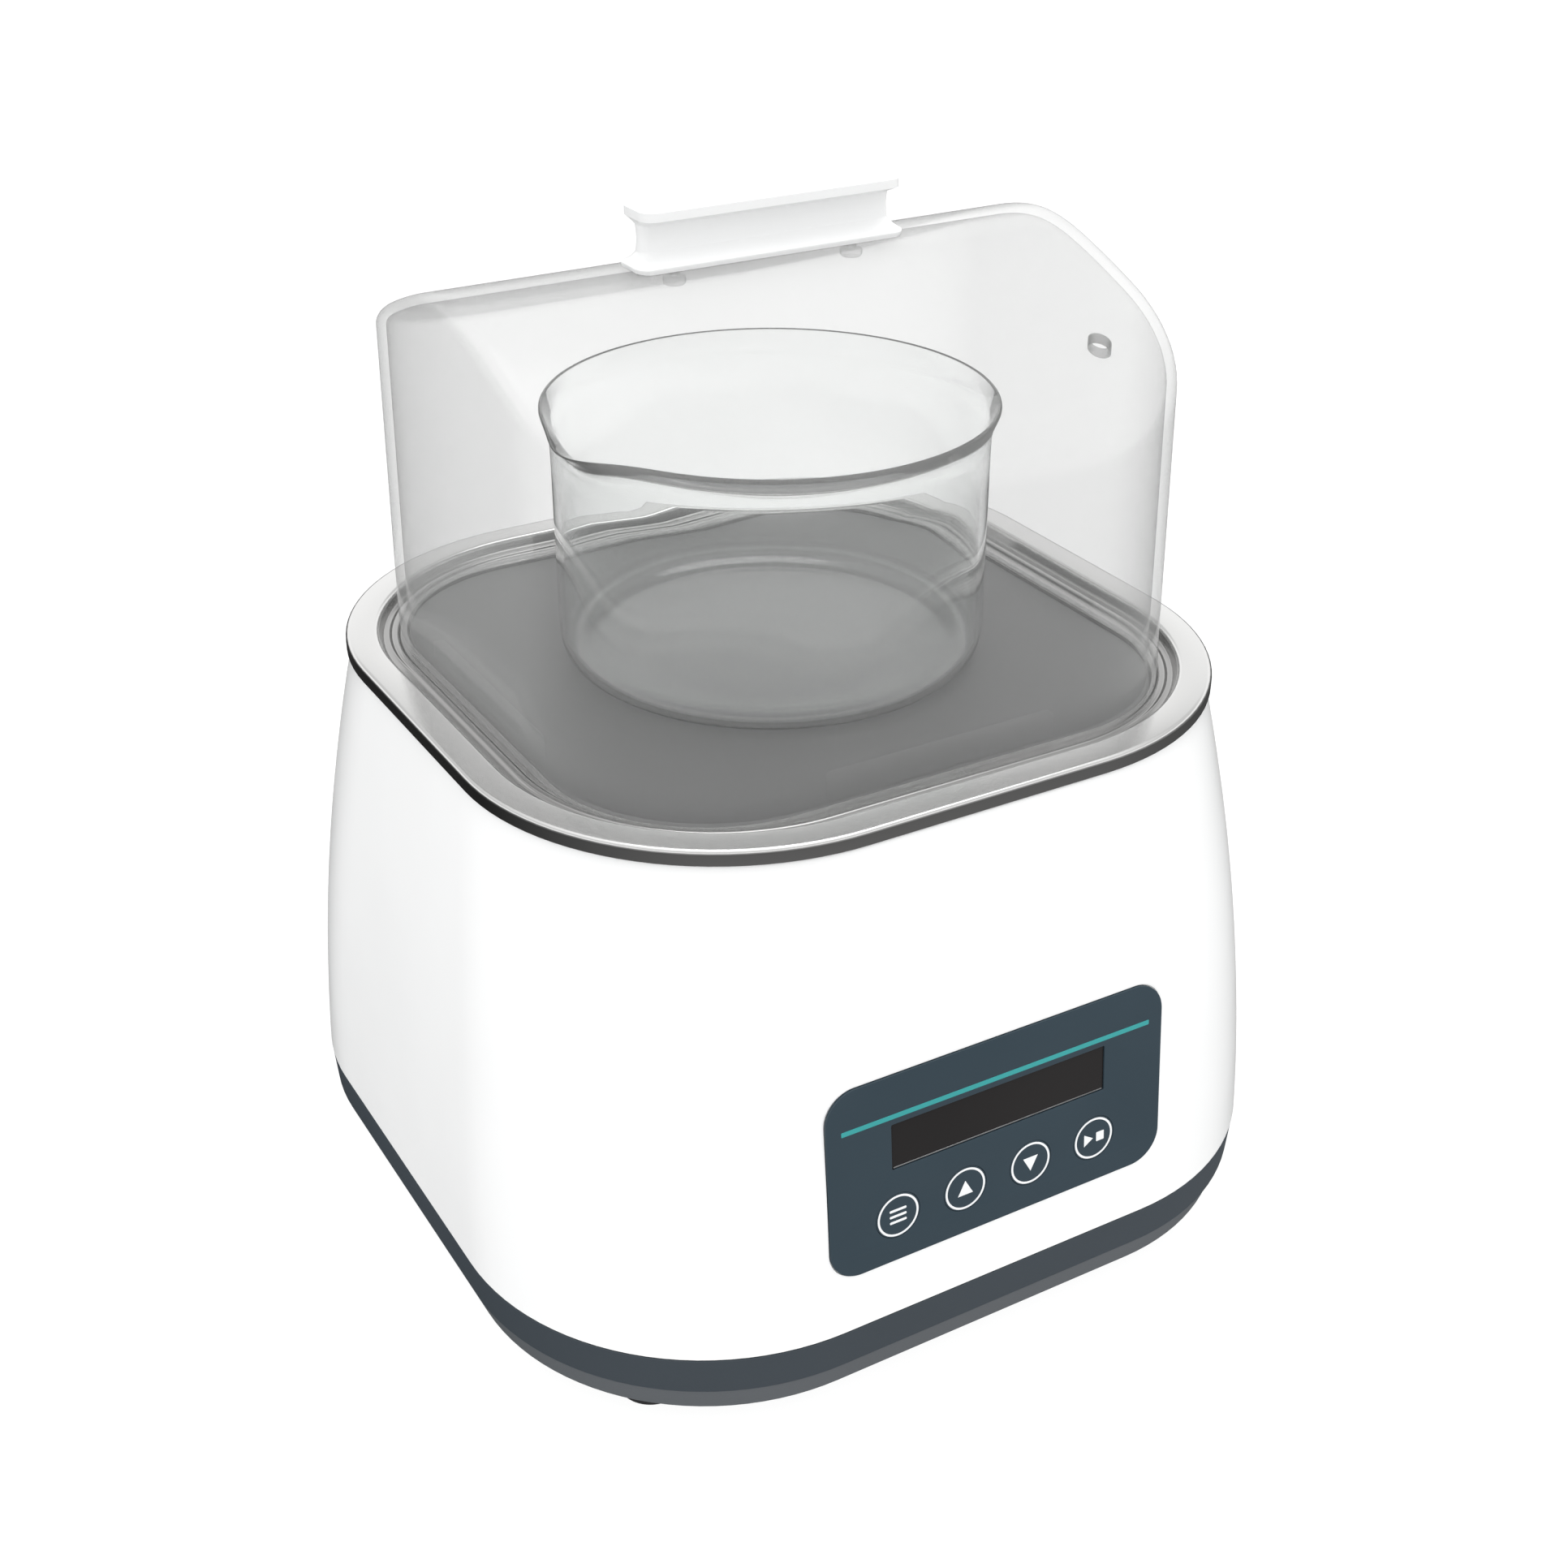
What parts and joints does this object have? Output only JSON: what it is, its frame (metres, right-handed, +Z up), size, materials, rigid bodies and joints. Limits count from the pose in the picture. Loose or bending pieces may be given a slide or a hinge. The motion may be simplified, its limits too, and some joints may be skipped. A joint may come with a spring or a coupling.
{
  "type": "water bath",
  "caption": "Bench-top laboratory water bath: barrel-sided housing, stainless tank, support tray with a glass dish, clear vaulted lift-off hood and front keypad.",
  "frame": {"origin": "on the bench, under the middle of the footprint", "axes": "+Z up, -Y towards the control panel, +X to the right of someone facing the panel"},
  "size_m": [0.2784, 0.2784, 0.3284],
  "materials": {
    "housing_white": "smooth gloss, injection moulded",
    "base_slate": "fine satin texture",
    "foot_rubber": "matt rubber",
    "tank_steel": "satin polished, fine circumferential grain on the rim",
    "gasket_silicone": "matt silicone",
    "insulation_felt": "needled felt",
    "heater_silicone": "woven glass fibre in silicone",
    "zinc_steel": "zinc plated",
    "panel_slate": "satin overlay with a fine grain",
    "stripe_teal": "printed stripe",
    "display_black": "gloss window, dark when off",
    "black_plastic": "moulded",
    "board_green": "solder resist",
    "transformer_brown": "varnished laminations",
    "relay_blue": "moulded",
    "tray_grey": "matt, evenly finished",
    "dish_glass": "clear, fire polished rim",
    "hood_clear": "clear moulded plastic, slightly milky",
    "handle_frost": "translucent white moulding"
  },
  "bodies": {
    "base_unit": {"outer_shell": "housing_white", "base_pan": "base_slate", "foot_front_left": "foot_rubber", "foot_front_right": "foot_rubber", "foot_rear_left": "foot_rubber", "foot_rear_right": "foot_rubber", "foot_screw_front_left": "zinc_steel", "foot_screw_front_right": "zinc_steel", "foot_screw_rear_left": "zinc_steel", "foot_screw_rear_right": "zinc_steel", "case_screw_front_left": "zinc_steel", "case_screw_front_right": "zinc_steel", "case_screw_rear_left": "zinc_steel", "case_screw_rear_right": "zinc_steel", "tank": "tank_steel", "rim_gasket": "gasket_silicone", "tank_insulation": "insulation_felt", "tank_bracket_1": "zinc_steel", "tank_bracket_2": "zinc_steel", "tank_bracket_3": "zinc_steel", "tank_bracket_4": "zinc_steel", "bracket_screw_1": "zinc_steel", "bracket_screw_2": "zinc_steel", "bracket_screw_3": "zinc_steel", "bracket_screw_4": "zinc_steel", "heater_pad": "heater_silicone", "heater_clamp_plate": "zinc_steel", "heater_nut": "zinc_steel", "thermal_cutout": "black_plastic", "temperature_probe": "zinc_steel", "control_panel": "panel_slate", "panel_stripe": "stripe_teal", "display_window": "display_black", "display_module": "black_plastic", "tact_switch_1": "black_plastic", "tact_switch_2": "black_plastic", "tact_switch_3": "black_plastic", "tact_switch_4": "black_plastic", "control_board": "board_green", "power_board": "board_green", "transformer": "transformer_brown", "heater_relay": "relay_blue", "filter_capacitor": "black_plastic", "rear_plate": "zinc_steel", "mains_inlet": "black_plastic", "rocker_frame": "black_plastic"},
    "tray": {"support_tray": "tray_grey"},
    "dish": {"glass_dish": "dish_glass"},
    "hood": {"hood_shell": "hood_clear", "hood_handle": "handle_frost", "handle_screw_1": "handle_frost", "handle_screw_2": "handle_frost"},
    "menu_key": {"key_menu": "panel_slate"},
    "up_key": {"key_up": "panel_slate"},
    "down_key": {"key_down": "panel_slate"},
    "start_stop_key": {"key_start_stop": "panel_slate"},
    "power_rocker": {"rocker_switch": "black_plastic"},
    "fuse_holder": {"fuse_drawer": "black_plastic", "fuse": "zinc_steel"}
  },
  "joints": [
    {"name": "tray_lift", "type": "slide", "parent": "base_unit", "child": "tray", "axis": [0, 0, 1], "range_m": [0, 0.06]},
    {"name": "dish_lift", "type": "slide", "parent": "tray", "child": "dish", "axis": [0, 0, 1], "range_m": [0, 0.1]},
    {"name": "hood_lift", "type": "slide", "parent": "dish", "child": "hood", "axis": [0, 0, 1], "range_m": [0, 0.15]},
    {"name": "menu_press", "type": "slide", "parent": "base_unit", "child": "menu_key", "axis": [0, 0.9963, -0.0855], "range_m": [0, 0.0006], "stiffness_N_per_m": 600},
    {"name": "up_press", "type": "slide", "parent": "base_unit", "child": "up_key", "axis": [0, 0.9963, -0.0855], "range_m": [0, 0.0006], "stiffness_N_per_m": 600},
    {"name": "down_press", "type": "slide", "parent": "base_unit", "child": "down_key", "axis": [0, 0.9963, -0.0855], "range_m": [0, 0.0006], "stiffness_N_per_m": 600},
    {"name": "start_stop_press", "type": "slide", "parent": "base_unit", "child": "start_stop_key", "axis": [0, 0.9963, -0.0855], "range_m": [0, 0.0006], "stiffness_N_per_m": 600},
    {"name": "power_rock", "type": "hinge", "parent": "base_unit", "child": "power_rocker", "pos_m": [0.018, 0.12808, 0.07161], "axis": [1, 0, 0], "range_deg": [-8, 8]},
    {"name": "fuse_slide", "type": "slide", "parent": "base_unit", "child": "fuse_holder", "axis": [0, 0.997, 0.077], "range_m": [0, 0.018]}
  ]
}
